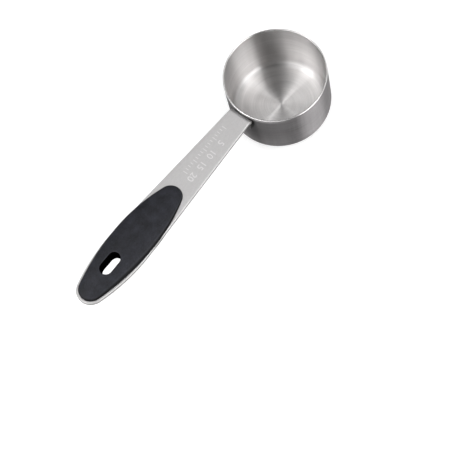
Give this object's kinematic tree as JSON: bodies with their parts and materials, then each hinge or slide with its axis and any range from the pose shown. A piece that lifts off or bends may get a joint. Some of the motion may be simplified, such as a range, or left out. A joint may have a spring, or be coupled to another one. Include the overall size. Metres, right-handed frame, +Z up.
{
  "type": "measuring spoon",
  "caption": "Steel measuring scoop: a deep round cup spot-welded to a flat tapering handle with a black soft-touch grip and a hanging slot.",
  "frame": {"origin": "centre of the cup's flat underside", "axes": "+Z up out of the cup's mouth, +X from the cup along the handle, +Y across the handle"},
  "size_m": [0.14, 0.042, 0.0289],
  "materials": {
    "cup_steel": "spun and brushed stainless steel",
    "handle_steel": "satin stainless steel, fine grain",
    "weld_steel": "bare weld, flush",
    "grip_rubber": "matte soft-touch"
  },
  "bodies": {
    "root": {"cup": "cup_steel", "handle": "handle_steel", "spot_welds": "weld_steel", "front_grip": "grip_rubber", "back_grip": "grip_rubber"}
  },
  "joints": []
}
